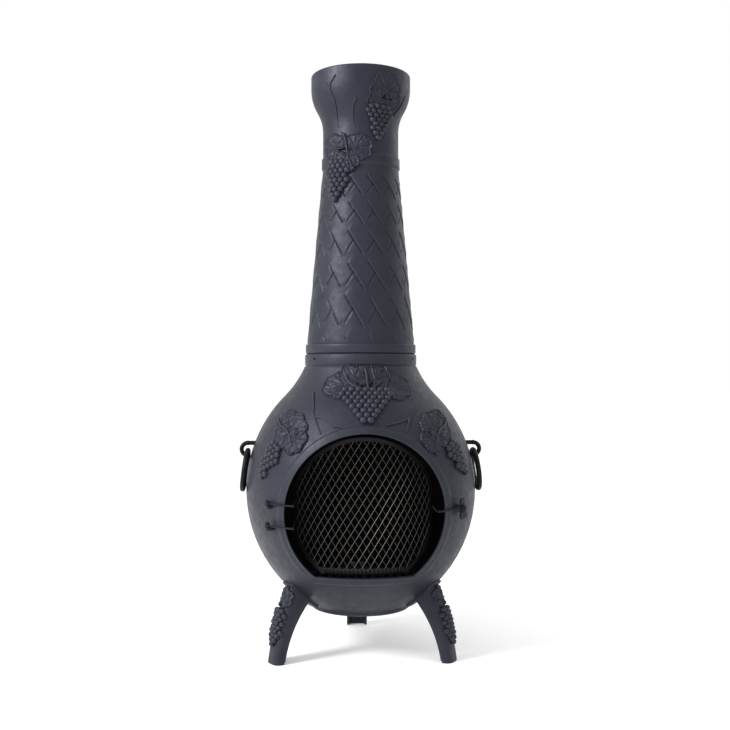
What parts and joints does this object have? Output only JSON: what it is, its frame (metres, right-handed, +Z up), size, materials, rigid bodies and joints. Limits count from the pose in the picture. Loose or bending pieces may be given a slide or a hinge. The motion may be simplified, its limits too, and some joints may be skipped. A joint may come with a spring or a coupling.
{
  "type": "chiminea",
  "caption": "Free-standing cast chiminea with a grape-vine flue, round mouth, swing-out spark screen, turn latch, ring handles, fire grate and legs.",
  "frame": {"origin": "on the flue axis at floor level, midway under the three feet", "axes": "+Z up along the flue, the mouth faces -Y, +X to the right of someone facing the mouth"},
  "size_m": [0.567, 0.5077, 1.346],
  "materials": {
    "cast_paint": "satin charcoal heat paint on sand-cast iron",
    "arm_paint": "satin charcoal heat paint on steel rod",
    "black_steel": "satin black paint",
    "mesh_wire": "dull heat-darkened wire",
    "fasteners": "dark zinc and paint",
    "raw_iron": "rough heat-browned iron"
  },
  "bodies": {
    "chiminea": {"chimney_stack": "cast_paint", "body_front": "cast_paint", "body_rear": "cast_paint", "seam_bolts": "fasteners", "seam_nuts": "fasteners", "collar_screws": "fasteners", "leg_front_left": "cast_paint", "leg_front_right": "cast_paint", "leg_rear": "cast_paint", "leg_bolts": "fasteners", "leg_nuts": "fasteners", "hook_left": "black_steel", "hook_right": "black_steel", "hook_nuts": "fasteners", "hinge_pins": "black_steel", "latch_screw": "cast_paint", "latch_washer": "fasteners", "fire_grate": "raw_iron"},
    "screen": {"screen_frame": "black_steel", "screen_mesh": "mesh_wire", "screen_hem": "black_steel", "screen_hinge_arms": "arm_paint", "screen_latch_arm": "arm_paint"},
    "latch": {"latch_lever": "black_steel"},
    "handle_left": {"ring_handle_left": "black_steel"},
    "handle_right": {"ring_handle_right": "black_steel"}
  },
  "joints": [
    {"name": "screen_swing", "type": "hinge", "parent": "chiminea", "child": "screen", "pos_m": [-0.21143, -0.17741, 0.342], "axis": [0, 0, -1], "range_deg": [0, 120]},
    {"name": "latch_turn", "type": "hinge", "parent": "chiminea", "child": "latch", "pos_m": [0.21397, -0.17827, 0.3525], "axis": [0.7683, -0.6401, 0], "range_deg": [-8, 82]},
    {"name": "handle_left_swing", "type": "hinge", "parent": "chiminea", "child": "handle_left", "pos_m": [-0.264, -0.017, 0.4691], "axis": [0, 1, 0], "range_deg": [0, 170]},
    {"name": "handle_right_swing", "type": "hinge", "parent": "chiminea", "child": "handle_right", "pos_m": [0.264, -0.017, 0.4691], "axis": [0, -1, 0], "range_deg": [0, 170]}
  ]
}
